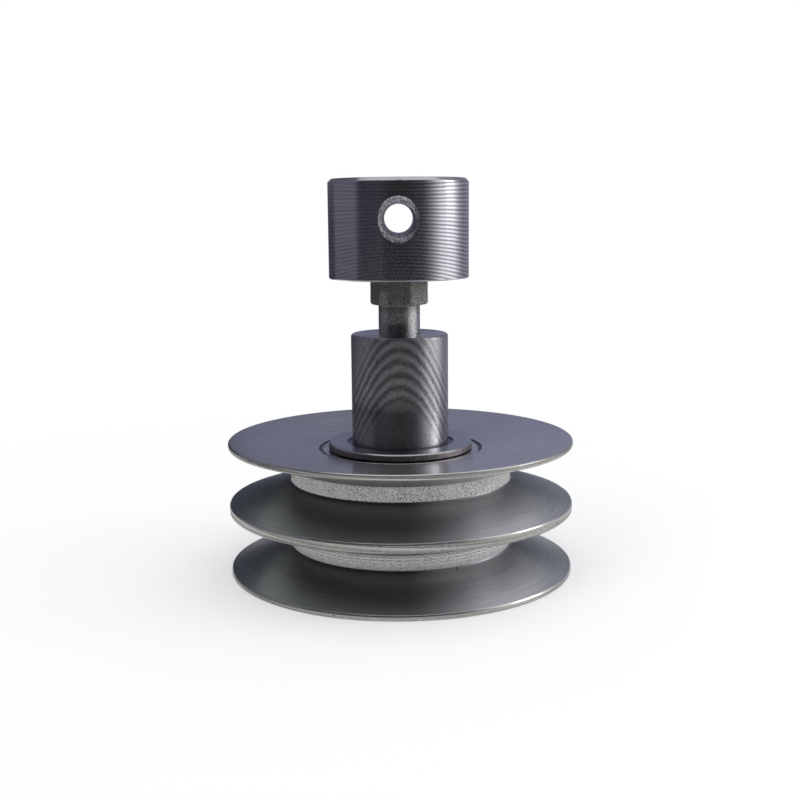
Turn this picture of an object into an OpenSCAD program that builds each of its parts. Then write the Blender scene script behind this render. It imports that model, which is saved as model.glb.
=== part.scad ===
// Twin-groove idler pulley on a stub shaft, with a spanner stud and a cross-drilled pivot boss.
// The axis is Z, the origin is the centre of the plane that the lower rim stands on, lengths are in mm.

/* [Pulley] */
// Outer diameter of the three flanges
flange_d = 100; // [96:1:140]
// Number of V-grooves
groove_count = 2; // [2:1:4]
// Width of a groove at the rim
groove_w = 16.5; // [15.5:0.5:20]
// Included angle of a groove
groove_angle = 36; // [34:1:38]
// Depth of a groove, from the rim to its flat root
groove_depth = 18; // [14:0.5:20]
// Width of the rim on the top and bottom flange
outer_rim_w = 1.5; // [1:0.1:4]
// Width of the rim between two grooves
mid_rim_w = 2.5; // [1.5:0.1:5]
// How far both side faces fall from the rim to the hub
dish_depth = 3; // [1.5:0.1:4]
// Edge break on the rims
rim_chamfer = 0.3; // [0.1:0.05:0.4]
// Bore of the locating shoulder between the two bearings
hub_shoulder_d = 41; // [40:0.5:42.5]
// Edge break at the bearing seats' mouths
seat_chamfer = 0.3; // [0.1:0.1:0.6]

/* [Bearings] */
// Bore of a bearing
bearing_bore = 20; // [19:0.5:21]
// Outer diameter of a bearing
bearing_od = 47; // [46:0.5:49]
// Width of a bearing
bearing_w = 14; // [13:0.5:14.5]
// Corner chamfer of the bearing rings
ring_chamfer = 0.8; // [0.4:0.1:1]
// How far a bearing sits below the hub's face
bearing_recess = 0.2; // [0.1:0.1:0.5]
// Diameter of a ball
ball_d = 7.938; // [7.2:0.1:8.2]
// Number of balls in a bearing
ball_count = 8; // [7:1:9]
// Radius of the raceways' section
race_r = 4.2; // [4.15:0.01:4.4]
// Distance from the pitch circle to the rings' lands
land_offset = 2.4; // [2.1:0.1:2.8]
// Thickness of a shield
shield_t = 0.4; // [0.3:0.05:0.5]
// How far a shield sits below the bearing's face
shield_recess = 0.4; // [0.3:0.1:0.7]
// Width of the ledge in the outer ring that a shield sits on
shield_ledge = 1.1; // [0.6:0.1:1.4]
// Sheet thickness of the riveted cage
cage_t = 0.7; // [0.5:0.1:0.8]
// Radial width of the cage's ribbon
cage_w = 3.4; // [2.8:0.1:3.6]
// Diameter of a cage rivet
cage_rivet_d = 1.2; // [0.8:0.1:1.4]

/* [Cover washer] */
// Outer diameter of the cover washer
washer_d = 41.8; // [38:0.2:44]
// Thickness of the cover washer
washer_t = 2.1; // [1.8:0.1:4]
// Depth of the recess that the shaft's shoulder sits in
washer_recess = 0.5; // [0.3:0.1:0.8]
// Radial room between the shoulder and the recess's wall
washer_recess_room = 1.5; // [0.5:0.1:2.5]
// Edge break on the washer's top
washer_chamfer = 0.4; // [0.2:0.1:0.8]

/* [Stub shaft] */
// Diameter of the shaft's shoulder above the pulley
shoulder_d = 28; // [25:0.5:32]
// Length of the shoulder
shoulder_len = 32; // [24:1:50]
// Edge break at the shoulder's top
shoulder_chamfer = 0.5; // [0.2:0.1:1.5]
// Depth of the tapped hole in the shoulder
tapped_depth = 26; // [18:1:30]
// Depth of the countersink at the hole's mouth
tapped_mouth = 0.55; // [0.3:0.05:1]
// Length of the journal below the retaining ring's groove
journal_tail = 1.5; // [0.8:0.1:1.6]
// Mouth diameter of the centre-drilled hole in the journal's end
centre_hole_d = 5; // [3:0.5:6]

/* [Retaining ring] */
// Thickness of the retaining ring
clip_t = 1.2; // [1:0.05:1.3]
// Depth of its groove in the journal
clip_groove_depth = 0.5; // [0.3:0.05:0.7]
// Radial width of the ring opposite its gap
clip_w = 2.6; // [2.2:0.1:2.9]
// Radial width of the ring next to its ears
clip_w_ends = 1.4; // [1.1:0.1:1.8]
// Radius of an ear
clip_ear_r = 1.9; // [1.6:0.1:2]
// Diameter of the pliers hole in an ear
clip_hole_d = 2; // [1.6:0.1:2.2]
// Width of the gap between the ears
clip_gap = 3; // [2:0.2:4]

/* [Stud] */
// Diameter of the stud's neck and of its thread
neck_d = 12; // [10:0.5:14]
// Free length of the neck, where the bracket plate is clamped
neck_len = 8.4; // [5:0.2:16]
// Width of the spanner hexagon across its flats
hex_af = 15; // [14.6:0.1:18]
// Diameter that the hexagon's corners are turned to
hex_corner_d = 16.7; // [16.4:0.1:16.8]
// Height of the hexagon
hex_h = 7.5; // [5:0.5:12]
// Edge break under the hexagon
hex_chamfer = 0.5; // [0.2:0.1:1]
// Turn of the hexagon about the axis
hex_turn = -6; // [-30:1:30]
// Length of the thread in the shaft
thread_len = 22; // [12:1:25]
// Diameter of the threaded spigot in the boss
spigot_d = 10; // [8:0.5:12]
// Length of the threaded spigot in the boss
spigot_len = 8.5; // [6:0.5:9]

/* [Pivot boss] */
// Diameter of the boss
boss_d = 40; // [32:1:50]
// Height of the boss
boss_h = 28; // [26:0.5:40]
// Edge break at the boss's top
boss_chamfer = 1; // [0.4:0.1:2]
// Edge break at the boss's bottom
boss_foot_chamfer = 0.3; // [0.1:0.1:0.6]
// Diameter of the cross hole
cross_hole_d = 8.5; // [6:0.5:10]
// Height of the cross hole's axis above the boss's bottom
cross_hole_z = 16.7; // [16:0.1:18]
// Mouth diameter of the cross hole's countersinks
cross_mouth_d = 12.7; // [11:0.1:16]
// Room beyond the spigot's end in the boss
spigot_room = 1; // [0.5:0.1:1.5]

/* [Clearances] */
// Radial room in pressed, screwed and sliding fits
fit_gap = 0.02; // [0.01:0.01:0.04]
// Radial room between a ball and its raceways
ball_gap = 0.05; // [0.03:0.01:0.08]
// Room between a ball and its cage pocket
pocket_gap = 0.15; // [0.1:0.05:0.2]
// Room between the turning rings and what stands still beside them
side_gap = 0.3; // [0.2:0.05:0.4]

/* [Hidden] */
$fn = 96;
CUT = 1;

flange_r = flange_d / 2;
half_angle = groove_angle / 2;
groove_pitch = groove_w + mid_rim_w;
pulley_w = 2 * outer_rim_w + groove_count * groove_w + (groove_count - 1) * mid_rim_w;
root_r = flange_r - groove_depth;
root_w = groove_w - 2 * groove_depth * tan(half_angle);
seat_r = bearing_od / 2 + fit_gap;

pitch_r = (bearing_bore + bearing_od) / 4;
ball_r = ball_d / 2;
inner_land_r = pitch_r - land_offset;
outer_land_r = pitch_r + land_offset;
inner_race_r = pitch_r - ball_r - ball_gap + race_r;
outer_race_r = pitch_r + ball_r + ball_gap - race_r;
ledge_r = outer_land_r + shield_ledge;
ledge_depth = shield_recess + shield_t;

upper_top_z = pulley_w - dish_depth - bearing_recess;
upper_mid_z = upper_top_z - bearing_w / 2;
lower_low_z = dish_depth + bearing_recess;
lower_mid_z = lower_low_z + bearing_w / 2;
shoulder_low_z = lower_low_z + bearing_w;
shoulder_high_z = upper_top_z - bearing_w;

washer_top_z = upper_top_z + washer_t;
shaft_low_z = washer_top_z - washer_recess;
shaft_top_z = shaft_low_z + shoulder_len;
journal_r = bearing_bore / 2 - fit_gap;
clip_low_z = lower_low_z - clip_t;
journal_end_z = clip_low_z - journal_tail;
clip_r = journal_r - clip_groove_depth;

hex_low_z = shaft_top_z + neck_len;
boss_low_z = hex_low_z + hex_h;

STEEL_PULLEY = [0.55, 0.57, 0.56];
STEEL_TURNED = [0.38, 0.38, 0.41];
STEEL_FORGED = [0.30, 0.30, 0.28];
STEEL_BEARING = [0.62, 0.62, 0.64];
STEEL_SPRING = [0.20, 0.20, 0.22];

// The four corners of one rim's section, with its edges broken, from its lower wall to its upper one.
// An edge on a groove keeps the groove's slope, and an edge on a side face is level.
function rim_section(low_z, w, low_slope, high_slope) = [
    [flange_r - rim_chamfer, low_z - rim_chamfer * low_slope],
    [flange_r, low_z + rim_chamfer],
    [flange_r, low_z + w - rim_chamfer],
    [flange_r - rim_chamfer, low_z + w + rim_chamfer * high_slope]
];

// The flat root of one groove
function root_section(mid_z) = [[root_r, mid_z - root_w / 2], [root_r, mid_z + root_w / 2]];

function groove_mid_z(i) = outer_rim_w + groove_w / 2 + i * groove_pitch;

// One turned solid: flanges, V-grooves, dished faces and the stepped bore for two bearings
module pulley() {
    wall = tan(half_angle);
    mid_rims = [
        for (i = [0 : groove_count - 2])
            concat(root_section(groove_mid_z(i)),
                   rim_section(groove_mid_z(i) + groove_w / 2, mid_rim_w, wall, wall))
    ];
    outline = concat(
        [[hub_shoulder_d / 2, dish_depth]],
        [[seat_r, dish_depth]],
        rim_section(0, outer_rim_w, 0, wall),
        [for (part = mid_rims) for (p = part) p],
        root_section(groove_mid_z(groove_count - 1)),
        rim_section(pulley_w - outer_rim_w, outer_rim_w, wall, 0),
        [[seat_r, pulley_w - dish_depth]],
        [[hub_shoulder_d / 2, pulley_w - dish_depth]]
    );
    color(STEEL_PULLEY)
        difference() {
            rotate_extrude() polygon(outline);
            translate([0, 0, -CUT]) cylinder(r = seat_r, h = shoulder_low_z + CUT);
            translate([0, 0, shoulder_high_z]) cylinder(r = seat_r, h = pulley_w);
            seat_mouth(dish_depth, 0);
            seat_mouth(pulley_w - dish_depth, 180);
        }
}

// Lead-in at the mouth of a bearing seat
module seat_mouth(z, turn) {
    translate([0, 0, z]) rotate([turn, 0, 0]) translate([0, 0, -CUT])
        cylinder(r1 = seat_r + seat_chamfer + CUT, r2 = seat_r, h = seat_chamfer + CUT);
}

// A ring's section with all four corners broken
module ring_section(r1, r2, h) {
    c = ring_chamfer;
    polygon([[r1 + c, -h / 2], [r2 - c, -h / 2], [r2, -h / 2 + c], [r2, h / 2 - c],
             [r2 - c, h / 2], [r1 + c, h / 2], [r1, h / 2 - c], [r1, -h / 2 + c]]);
}

module race(r) {
    rotate_extrude() translate([r, 0]) circle(r = race_r);
}

module outer_ring(mid_z) {
    ledge_z = bearing_w / 2 - ledge_depth;
    color(STEEL_BEARING) translate([0, 0, mid_z])
        difference() {
            rotate_extrude() ring_section(outer_land_r - ring_chamfer, bearing_od / 2, bearing_w);
            cylinder(r = outer_land_r, h = bearing_w + CUT, center = true);
            race(outer_race_r);
            for (side = [0, 1]) mirror([0, 0, side]) translate([0, 0, ledge_z])
                cylinder(r = ledge_r, h = ledge_depth + CUT);
        }
}

module inner_ring(mid_z) {
    color(STEEL_BEARING) translate([0, 0, mid_z])
        difference() {
            rotate_extrude() ring_section(bearing_bore / 2, inner_land_r, bearing_w);
            race(inner_race_r);
        }
}

module at_balls() {
    for (i = [0 : ball_count - 1]) rotate([0, 0, 360 * i / ball_count]) translate([pitch_r, 0, 0])
        children();
}

module balls(mid_z) {
    color(STEEL_BEARING) translate([0, 0, mid_z]) at_balls() sphere(r = ball_r);
}

// A flat ribbon, pressed into a half cup over each ball, with holes for the rivets between them
module cage_half(mid_z, side) {
    cup_r = ball_r + pocket_gap;
    reach = cup_r + cage_t;
    color(STEEL_TURNED) translate([0, 0, mid_z]) mirror([0, 0, side])
        difference() {
            intersection() {
                union() {
                    cylinder(r = pitch_r + cage_w / 2, h = cage_t);
                    at_balls() sphere(r = reach);
                }
                difference() {
                    cylinder(r = pitch_r + cage_w / 2, h = reach + CUT);
                    translate([0, 0, -CUT]) cylinder(r = pitch_r - cage_w / 2, h = reach + 3 * CUT);
                }
            }
            at_balls() sphere(r = cup_r);
            at_rivets() translate([0, 0, -CUT])
                cylinder(d = cage_rivet_d + 2 * fit_gap, h = cage_t + 2 * CUT);
        }
}

module at_rivets() {
    rotate([0, 0, 180 / ball_count]) at_balls() children();
}

module cage_rivets(mid_z) {
    head_h = cage_rivet_d / 3;
    color(STEEL_TURNED) translate([0, 0, mid_z]) at_rivets() {
        cylinder(d = cage_rivet_d, h = 2 * cage_t, center = true);
        for (side = [0, 1]) mirror([0, 0, side]) translate([0, 0, cage_t])
            cylinder(d1 = 1.7 * cage_rivet_d, d2 = 1.1 * cage_rivet_d, h = head_h);
    }
}

module shield(mid_z, side) {
    color(STEEL_SPRING) translate([0, 0, mid_z]) mirror([0, 0, side])
        translate([0, 0, bearing_w / 2 - ledge_depth])
            difference() {
                cylinder(r = ledge_r - fit_gap, h = shield_t);
                translate([0, 0, -CUT]) cylinder(r = inner_land_r + side_gap, h = shield_t + 2 * CUT);
            }
}

// Keeps the two inner rings as far apart as the hub's shoulder keeps the outer ones
module inner_spacer_ring() {
    color(STEEL_TURNED) translate([0, 0, shoulder_low_z])
        difference() {
            cylinder(r = inner_land_r - ring_chamfer, h = shoulder_high_z - shoulder_low_z);
            translate([0, 0, -CUT]) cylinder(d = bearing_bore, h = pulley_w);
        }
}

// Covers the bearing: it is clamped on the inner ring, and relieved below to clear the outer one
module cover_washer() {
    recess_r = shoulder_d / 2 + washer_recess_room;
    washer_r = washer_d / 2;
    bore_r = bearing_bore / 2;
    outline = [
        [bore_r, 0], [inner_land_r, 0], [inner_land_r, side_gap], [washer_r, side_gap],
        [washer_r, washer_t - washer_chamfer], [washer_r - washer_chamfer, washer_t],
        [recess_r, washer_t], [recess_r, washer_t - washer_recess], [bore_r, washer_t - washer_recess]
    ];
    color(STEEL_TURNED) translate([0, 0, upper_top_z]) rotate_extrude() polygon(outline);
}

// Turned shaft: a thick shoulder with a tapped blind hole on top, and a journal through the bearings
module stub_shaft() {
    shoulder_r = shoulder_d / 2;
    tail_c = journal_tail / 2;
    outline = [
        [0, journal_end_z], [journal_r - tail_c, journal_end_z], [journal_r, journal_end_z + tail_c],
        [journal_r, clip_low_z - fit_gap], [clip_r, clip_low_z - fit_gap],
        [clip_r, lower_low_z + fit_gap], [journal_r, lower_low_z + fit_gap],
        [journal_r, shaft_low_z], [shoulder_r, shaft_low_z], [shoulder_r, shaft_top_z - shoulder_chamfer],
        [shoulder_r - shoulder_chamfer, shaft_top_z], [0, shaft_top_z]
    ];
    color(STEEL_TURNED)
        difference() {
            rotate_extrude() polygon(outline);
            translate([0, 0, shaft_top_z]) mirror([0, 0, 1]) tapped_hole();
            translate([0, 0, journal_end_z]) centre_hole();
        }
}

module tapped_hole() {
    hole_r = neck_d / 2 + fit_gap;
    translate([0, 0, -CUT]) cylinder(r = hole_r, h = tapped_depth + CUT);
    translate([0, 0, tapped_depth]) cylinder(r1 = hole_r, r2 = 0, h = hole_r / 2);
    translate([0, 0, -CUT])
        cylinder(r1 = hole_r + tapped_mouth + CUT, r2 = hole_r, h = tapped_mouth + CUT);
}

module centre_hole() {
    translate([0, 0, -CUT])
        cylinder(r1 = centre_hole_d / 2 + CUT * tan(30), r2 = 0, h = centre_hole_d / 2 / tan(30) + CUT);
}

// Spring clip in the journal's groove: it thins from its back to two ears with pliers holes
module retaining_ring() {
    ring_r = clip_r + fit_gap;
    outer_r = ring_r + (clip_w + clip_w_ends) / 2;
    shift = (clip_w - clip_w_ends) / 2;
    ear_x = clip_gap / 2 + clip_ear_r;
    ear_y = ring_r + clip_ear_r;
    color(STEEL_SPRING) translate([0, 0, clip_low_z]) linear_extrude(clip_t)
        difference() {
            union() {
                translate([0, -shift]) circle(r = outer_r);
                for (side = [-1, 1]) translate([side * ear_x, ear_y]) circle(r = clip_ear_r);
            }
            circle(r = ring_r);
            translate([-clip_gap / 2, 0]) square([clip_gap, ring_r + 3 * clip_ear_r]);
            for (side = [-1, 1]) translate([side * ear_x, ear_y]) circle(d = clip_hole_d);
        }
}

// One forged piece: thread, neck, spanner hexagon and the spigot that carries the boss
module spanner_stud() {
    neck_r = neck_d / 2;
    corner_r = hex_corner_d / 2;
    color(STEEL_FORGED) {
        translate([0, 0, shaft_top_z - thread_len]) cylinder(r = neck_r, h = thread_len + neck_len);
        translate([0, 0, hex_low_z]) intersection() {
            rotate([0, 0, hex_turn]) cylinder(d = hex_af / cos(30), h = hex_h, $fn = 6);
            union() {
                cylinder(r1 = corner_r - hex_chamfer, r2 = corner_r, h = hex_chamfer);
                translate([0, 0, hex_chamfer]) cylinder(r = corner_r, h = hex_h - hex_chamfer);
            }
        }
        translate([0, 0, boss_low_z - CUT]) cylinder(d = spigot_d, h = spigot_len + CUT);
    }
}

// Turned boss with a cross hole, countersunk at both ends
module pivot_boss() {
    boss_r = boss_d / 2;
    outline = [
        [0, 0], [boss_r - boss_foot_chamfer, 0], [boss_r, boss_foot_chamfer],
        [boss_r, boss_h - boss_chamfer], [boss_r - boss_chamfer, boss_h], [0, boss_h]
    ];
    color(STEEL_TURNED) translate([0, 0, boss_low_z])
        difference() {
            rotate_extrude() polygon(outline);
            translate([0, 0, -CUT]) cylinder(d = spigot_d + 2 * fit_gap, h = spigot_len + spigot_room + CUT);
            translate([0, 0, cross_hole_z]) rotate([90, 0, 0]) {
                cylinder(d = cross_hole_d, h = boss_d + 2 * CUT, center = true);
                for (side = [0, 1]) mirror([0, 0, side]) translate([0, 0, -boss_r - CUT])
                    cylinder(d1 = cross_mouth_d + 2 * CUT, d2 = 0, h = cross_mouth_d / 2 + CUT);
            }
        }
}

pulley();
outer_ring(upper_mid_z);  // upper_outer_ring
inner_ring(upper_mid_z);  // upper_inner_ring
balls(upper_mid_z);  // upper_balls
cage_half(upper_mid_z, 0);  // upper_cage_top_half
cage_half(upper_mid_z, 1);  // upper_cage_bottom_half
cage_rivets(upper_mid_z);  // upper_cage_rivets
shield(upper_mid_z, 0);  // upper_top_shield
shield(upper_mid_z, 1);  // upper_bottom_shield
outer_ring(lower_mid_z);  // lower_outer_ring
inner_ring(lower_mid_z);  // lower_inner_ring
balls(lower_mid_z);  // lower_balls
cage_half(lower_mid_z, 0);  // lower_cage_top_half
cage_half(lower_mid_z, 1);  // lower_cage_bottom_half
cage_rivets(lower_mid_z);  // lower_cage_rivets
shield(lower_mid_z, 0);  // lower_top_shield
shield(lower_mid_z, 1);  // lower_bottom_shield
inner_spacer_ring();
cover_washer();
stub_shaft();
retaining_ring();
spanner_stud();
pivot_boss();
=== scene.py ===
import math
import random

import bmesh
import bpy
from bpy.props import FloatProperty, FloatVectorProperty, PointerProperty
from bpy.types import Operator, Panel, PropertyGroup
from mathutils import Matrix, Vector, noise


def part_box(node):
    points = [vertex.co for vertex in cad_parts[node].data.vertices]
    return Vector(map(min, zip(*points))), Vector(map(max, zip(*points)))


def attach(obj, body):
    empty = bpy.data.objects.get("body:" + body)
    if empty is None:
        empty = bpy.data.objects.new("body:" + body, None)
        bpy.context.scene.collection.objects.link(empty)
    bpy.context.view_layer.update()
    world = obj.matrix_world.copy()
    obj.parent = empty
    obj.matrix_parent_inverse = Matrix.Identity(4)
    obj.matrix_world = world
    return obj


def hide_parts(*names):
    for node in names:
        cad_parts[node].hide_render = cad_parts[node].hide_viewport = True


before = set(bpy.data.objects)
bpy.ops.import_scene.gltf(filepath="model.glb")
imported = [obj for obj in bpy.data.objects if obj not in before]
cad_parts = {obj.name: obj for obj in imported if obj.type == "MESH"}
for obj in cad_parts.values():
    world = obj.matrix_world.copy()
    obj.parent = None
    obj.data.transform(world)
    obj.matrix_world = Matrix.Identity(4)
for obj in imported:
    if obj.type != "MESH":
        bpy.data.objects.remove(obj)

bl_info = {
    "name": "Idler Pulley",
    "version": (1, 0, 0),
    "blender": (4, 5, 0),
    "location": "View3D > Sidebar > Idler Pulley",
    "description": "Dresses a packed twin-groove idler pulley in turned, ground and forged steel",
    "category": "Object",
}

MM = 0.001

FIT_GAP = 0.02 * MM  # room in screwed and sliding fits

# Patterns of the finishes. Lengths are in millimetres.
MARK_DRIFT = 0.045  # how fast a turning mark changes round the axis, per millimetre
ROOT_SHADE_REACH = 15.0  # how far up a groove's wall the painted shade reaches from the root
LIT_SIDE = (math.sin(math.radians(42)), -math.cos(math.radians(42)), 0)  # the side where the groove walls' painted shade is lighter, as painted light from the front right
RIDGE_PITCH = 0.9  # from one ridge of the lower root to the next
RIDGE_BEADS = 84.0  # chatter beads round a ridge
RING_PITCH = 0.95  # from one ring of the boss to the next
RING_TOP = 106.0  # height at which the rings run level
RING_SAG = 0.18  # how far they sag at the sides, as a share of the depth below that height
ARCH_PITCH = 3.52  # from one arch of the shaft's shoulder to the next
ARCH_DROP = 21.0  # how far an arch falls from the front to the side
ARCH_CROWN = 0.5  # from the shoulder's top down to the crown of the highest whole arch
ARCH_FADE = 18.5  # from the shoulder's top down to where the arches fade out

# Nicks on the rims. Lengths are in millimetres.
NICK_SEED = 7
NICK_COUNT = 34
NICK_DEPTHS = (0.06, 0.2)
NICK_SPREADS = (0.35, 0.8)
NICK_REACH = 1.2  # how far in from the rims they change the surface

# Waves of the forged skin: (per millimetre, depth in millimetres), and how far they are sunk.
FORGE_WAVES = ((0.45, 0.05), (1.3, 0.03))
FORGE_SINK = 0.04

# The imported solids' boxes give the levels that the dressed pieces share with them.
PULLEY_LOW, PULLEY_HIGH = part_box("pulley")
WASHER_LOW, WASHER_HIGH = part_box("cover_washer")
SHAFT_LOW, SHAFT_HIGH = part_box("stub_shaft")
STUD_LOW, STUD_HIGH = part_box("spanner_stud")
BOSS_LOW, BOSS_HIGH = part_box("pivot_boss")
CLIP_LOW, CLIP_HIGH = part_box("retaining_ring")


def linear(code):
    """An sRGB hex colour as linear red, green, blue and alpha."""
    parts = [int(code[i:i + 2], 16) / 255 for i in (1, 3, 5)]
    return (*[c / 12.92 if c <= 0.04045 else ((c + 0.055) / 1.055) ** 2.4 for c in parts], 1.0)


def length(name, default, description):
    """A length property whose default is in metres."""
    return FloatProperty(name=name, description=description, default=default, min=0, precision=5,
                         unit="LENGTH", subtype="DISTANCE")


def colour(name, code, description):
    """A colour property whose default is an sRGB hex value."""
    return FloatVectorProperty(name=name, description=description, default=linear(code), size=4,
                               min=0, max=1, subtype="COLOR")


class IdlerPulleySizes(PropertyGroup):
    """Sizes of the turned pulley"""
    flange_r: length("Flange radius", PULLEY_HIGH.x, "From the axis to the rims")
    groove_w: length("Groove width", 16.5 * MM, "Width of a groove at the rim")
    groove_angle: FloatProperty(name="Groove angle", description="Included angle of a groove",
                                default=math.radians(36), unit="ROTATION", subtype="ANGLE")
    groove_depth: length("Groove depth", 18 * MM, "From the rim to the groove's root")
    outer_rim_w: length("Outer rim width", 1.5 * MM, "Width of the top and bottom rims")
    mid_rim_w: length("Middle rim width", 2.5 * MM, "Width of the rim between the grooves")
    dish_depth: length("Dish depth", 3 * MM, "How far both side faces fall towards the hub")
    root_ease: length("Root ease", 1.2 * MM, "Where the rounding of a root's corners begins")
    rim_chamfer: length("Rim edge break", 0.3 * MM, "Edge break on the rims")
    seat_r: length("Seat radius", 23.52 * MM, "Radius of the bearing seats")
    seat_chamfer: length("Seat edge break", 0.3 * MM, "Edge break at the seats' mouths")
    hub_shoulder_r: length("Hub shoulder radius", 20.5 * MM, "Bore between the two bearings")
    seat_depth: length("Seat depth", 14.2 * MM, "From the hub's face to its shoulder")


class IdlerShaftSizes(PropertyGroup):
    """Sizes of the washer, the stub shaft, the stud and the boss"""
    washer_foot_r: length("Washer foot radius", 14.35 * MM, "Part of the washer that the inner ring carries")
    washer_gap: length("Washer relief", 0.3 * MM, "How far the washer clears the outer ring")
    washer_recess: length("Washer recess", 0.5 * MM, "Depth of the recess that the shoulder sits in")
    recess_r: length("Recess radius", 15.5 * MM, "Radius of that recess")
    washer_chamfer: length("Washer edge break", 0.4 * MM, "Edge break on the washer's top")
    shoulder_r: length("Shoulder radius", SHAFT_HIGH.x, "Radius of the shaft above the pulley")
    shoulder_chamfer: length("Shoulder edge break", 0.5 * MM, "Edge break at the shoulder's top")
    journal_r: length("Journal radius", 9.98 * MM, "Radius of the shaft inside the bearings")
    clip_groove: length("Clip groove depth", 0.5 * MM, "Depth of the retaining ring's groove")
    tapped_depth: length("Tapped depth", 26 * MM, "Depth of the hole in the shoulder")
    tapped_mouth: length("Tapped mouth", 0.55 * MM, "Countersink at that hole's mouth")
    centre_hole_r: length("Centre hole radius", 2.5 * MM, "Centre-drilled hole in the journal's end")
    neck_r: length("Neck radius", 6 * MM, "Radius of the stud's neck")
    neck_len: length("Neck length", 8.4 * MM, "Free length of the neck")
    hex_af: length("Across flats", 15 * MM, "Width of the spanner hexagon")
    hex_corner_r: length("Corner radius", 8.35 * MM, "Radius that the hexagon's corners are turned to")
    hex_turn: FloatProperty(name="Hexagon turn", description="Turn of the hexagon about the axis",
                            default=math.radians(-6), unit="ROTATION", subtype="ANGLE")
    hex_chamfer: length("Hexagon edge break", 0.5 * MM, "Edge break under the hexagon")
    filed_height: length("Filed height", 4.3 * MM, "Height of the flat filed on one lower corner")
    filed_slope: FloatProperty(name="Filed slope", description="How much that flat cuts in for its height",
                               default=0.2, min=0, max=1, subtype="FACTOR")
    spigot_r: length("Spigot radius", 5 * MM, "Threaded end in the boss")
    boss_chamfer: length("Boss edge break", 1 * MM, "Edge break at the boss's top")
    boss_foot_chamfer: length("Boss foot edge break", 0.3 * MM, "Edge break at the boss's bottom")
    blind_depth: length("Blind hole depth", 9.5 * MM, "Hole for the spigot in the boss")
    cross_hole_r: length("Cross hole radius", 4.25 * MM, "Radius of the hole through the boss")
    cross_hole_z: length("Cross hole height", 16.7 * MM, "Its axis above the boss's bottom")
    cross_mouth_r: length("Cross hole mouth", 6.35 * MM, "Mouth radius of its countersinks")


class IdlerFinishes(PropertyGroup):
    """Colours of the finishes"""
    flange: colour("Flange steel", "#D4D4D4", "Smooth turned side faces of the pulley")
    # Painted light and shade on the groove walls: the first colour is where painted light falls at the front
    # right, the second is a greenish painted shade that deepens towards the root.
    wall: colour("Groove wall steel", "#DCDCE0", "Satin turned walls of the grooves, where they are clean")
    root_shade_wall: colour("Oiled groove wall", "#B1B5B2", "The same walls under a film of old oil")
    rim: colour("Rim steel", "#B6B5B1", "Faced rims, drier and lighter")
    root: colour("Root steel", "#F8F7F3", "Pale grainy groove roots")
    root_band: colour("Root band", "#B2B4B9", "Smoothly turned half of the lower root")
    # Also painted shade: the pulley's seat mouths are painted in this colour.
    pit: colour("Pits", "#33322F", "Pits and old grease in them")
    boss: colour("Boss steel", "#B9B8C0", "Turned boss")
    shaft: colour("Shaft steel", "#B6B6BB", "Turned shoulder of the shaft")
    washer: colour("Washer steel", "#B4B4BC", "Turned washer")
    washer_side: colour("Washer side", "#85777D", "Heat-tinted side of the washer")
    neck: colour("Neck steel", "#B2B0B2", "Turned neck of the stud")
    forged: colour("Forged steel", "#878580", "Blasted forged skin of the stud")
    # Also the colour of the painted glints on the stud's hexagon.
    grit: colour("Bright grains", "#E4E2E6", "Grains that the blasting left bright")
    bearing: colour("Bearing steel", "#C9CBD0", "Ground bearing rings")
    ball: colour("Ball steel", "#DCDDE0", "Polished balls")
    cage: colour("Cage steel", "#A8A49A", "Pressed and riveted cages")
    # The washer's recess is coloured darker than the rest of the washer.
    dimmed: colour("Oily steel", "#8A8C93", "Recess of the washer under old oil")
    clip: colour("Spring steel", "#3B3C40", "Phosphated spring steel")
    rubber: colour("Shield rubber", "#1C1C1D", "Moulded faces of the shields")


class IdlerStage(PropertyGroup):
    """Camera and studio"""
    distance: length("Camera distance", 0.33454, "From the pulley's axis, level")
    height: length("Camera height", 0.10465, "Above the floor")
    pitch: FloatProperty(name="Camera pitch", description="How far the camera looks down",
                         default=0.1639, unit="ROTATION", subtype="ANGLE")
    roll: FloatProperty(name="Camera roll", description="Turn about the line of sight",
                        default=-0.009, unit="ROTATION", subtype="ANGLE")
    lens: FloatProperty(name="Lens", description="Focal length in millimetres", default=52.37,
                        unit="CAMERA")
    card_r: length("Card radius", 0.2, "How far the reflected cards stand from the axis")


# A Mix node that blends colours: input 0 is the share of the second, and inputs 6 and 7 are the colours.
BLEND = {"output": 2, "data_type": "RGBA"}


def add(tree, kind, inputs=None, output=0, **settings):
    """Add a node with its settings, input values and links, and return one of its outputs."""
    node = tree.nodes.new(kind)
    for name, value in settings.items():
        setattr(node, name, value)
    for key, value in (inputs or {}).items():
        if isinstance(value, bpy.types.NodeSocket):
            tree.links.new(value, node.inputs[key])
        else:
            node.inputs[key].default_value = value
    return node.outputs[output]


# Meshes

def rounded(corners, steps=3):
    """An outline with each corner eased. Corners are (radius, height, ease, finish), and ease is how far from
    the corner its curve begins. A support point on each side keeps the shading of the long faces level."""
    support = 1.6  # how far from the corner a support point stands, as a multiple of the ease
    outline = []
    count = len(corners)
    for i, (r, z, ease, finish) in enumerate(corners):
        if ease == 0:
            outline.append((r, z, finish))
            continue
        here = Vector((r, z))
        back = (Vector(corners[i - 1][:2]) - here).normalized() * ease
        on = (Vector(corners[(i + 1) % count][:2]) - here).normalized() * ease
        before = corners[i - 1][3]
        outline.append((*(here + back * support), before))
        for s in range(steps + 1):
            t = s / steps
            p = here + back * (1 - t) ** 2 + on * t ** 2
            outline.append((*p, before if t < 0.5 else finish))
        outline.append((*(here + on * support), finish))
    return outline


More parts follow.
